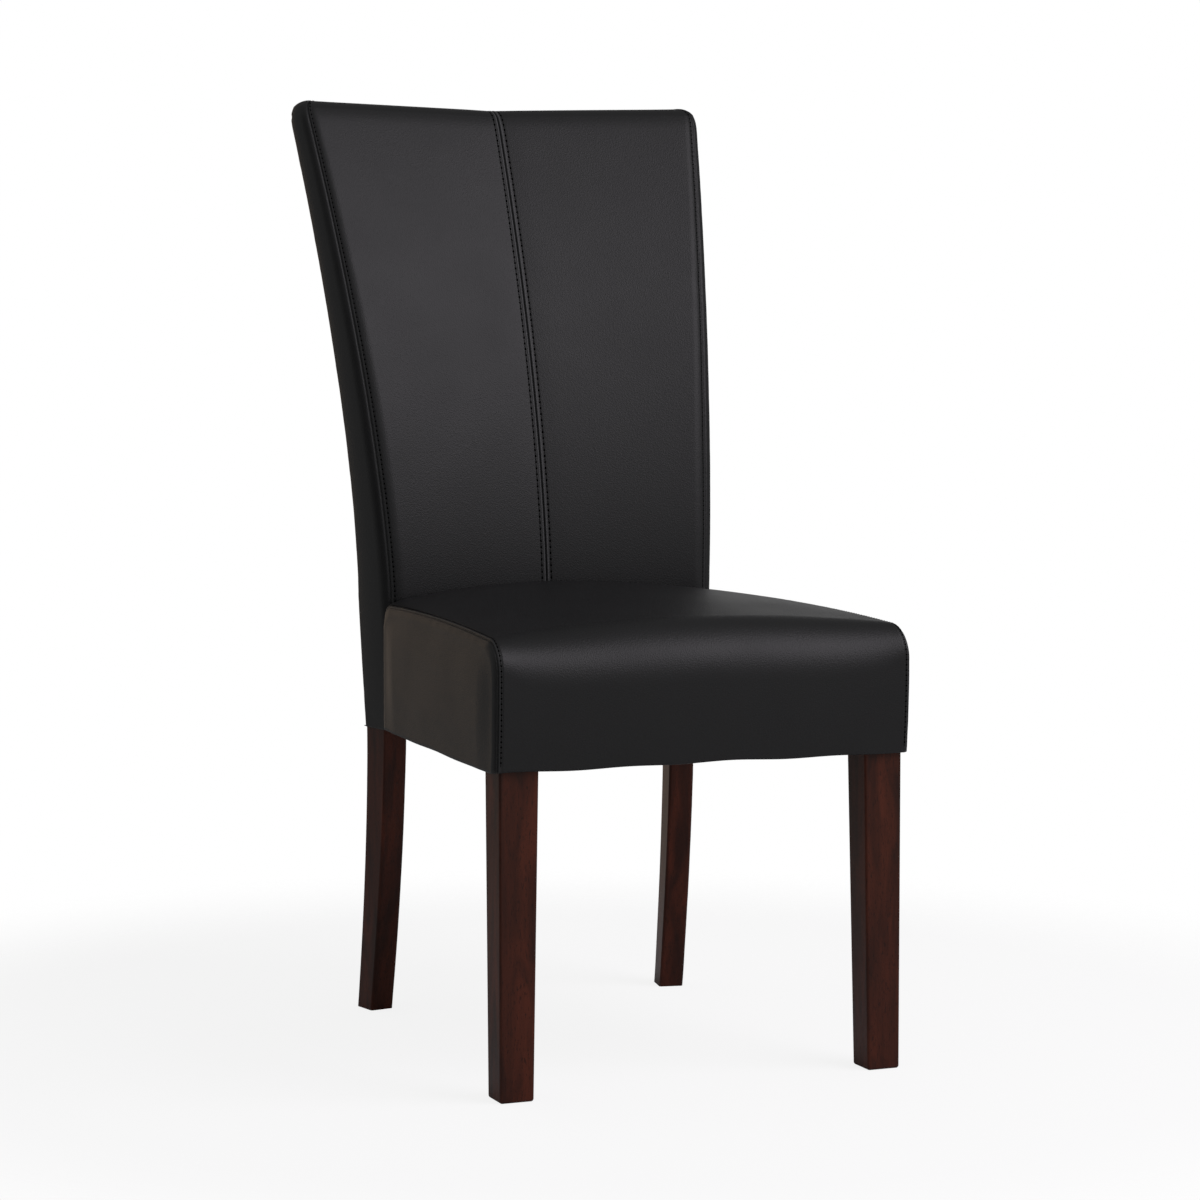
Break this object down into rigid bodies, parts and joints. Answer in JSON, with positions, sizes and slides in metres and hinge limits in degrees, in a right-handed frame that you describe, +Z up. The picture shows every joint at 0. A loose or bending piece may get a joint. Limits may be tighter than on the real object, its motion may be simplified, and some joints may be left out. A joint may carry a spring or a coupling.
{
  "type": "dining chair",
  "caption": "High-backed upholstered dining chair: curved padded back over its rear posts, crowned padded seat, and tapered square wooden legs, all in dark tones.",
  "frame": {"origin": "on the floor under the middle of the chair's bounding box", "axes": "+Z up, -Y towards the front of the seat, +X to the right as seen from the front"},
  "size_m": [0.4934, 0.6532, 1.0429],
  "materials": {
    "stained_wood": "dark espresso stain under satin lacquer",
    "frame_wood": "planed, unfinished",
    "dowel_wood": "turned, unfinished",
    "panel_board": "thin bent board",
    "foam": "open-cell foam",
    "leather_cloth": "black, fine pebble grain, satin",
    "lining_cloth": "thin black non-woven cloth",
    "webbing": "woven elastic strap",
    "zinc_steel": "zinc plated",
    "staple_wire": "galvanised wire"
  },
  "bodies": {
    "root": {"back_base_lining": "lining_cloth", "back_bolt_nuts": "zinc_steel", "back_bolt_washers": "zinc_steel", "back_bolts": "zinc_steel", "back_cover_front_left": "leather_cloth", "back_cover_front_right": "leather_cloth", "back_cover_rear": "leather_cloth", "back_cover_side_left": "leather_cloth", "back_cover_side_right": "leather_cloth", "back_foam": "foam", "back_inner_panel": "panel_board", "back_outer_panel": "panel_board", "back_rail_dowels": "dowel_wood", "back_rail_lower": "frame_wood", "back_rail_middle": "frame_wood", "back_rail_top": "frame_wood", "corner_block_front_left": "frame_wood", "corner_block_front_right": "frame_wood", "corner_block_rear_left": "frame_wood", "corner_block_rear_right": "frame_wood", "corner_block_screws": "zinc_steel", "dust_cover": "lining_cloth", "dust_cover_staples": "staple_wire", "front_leg_bolts": "zinc_steel", "front_leg_left": "stained_wood", "front_leg_nuts": "zinc_steel", "front_leg_right": "stained_wood", "front_leg_washers": "zinc_steel", "post_screws": "zinc_steel", "rear_post_left": "stained_wood", "rear_post_right": "stained_wood", "seat_cover_side_left": "leather_cloth", "seat_cover_side_right": "leather_cloth", "seat_cover_top": "leather_cloth", "seat_foam": "foam", "seat_rail_front": "frame_wood", "seat_rail_left": "frame_wood", "seat_rail_rear": "frame_wood", "seat_rail_right": "frame_wood", "webbing_cross_1": "webbing", "webbing_cross_2": "webbing", "webbing_cross_3": "webbing", "webbing_long_1": "webbing", "webbing_long_2": "webbing", "webbing_long_3": "webbing"}
  },
  "joints": []
}
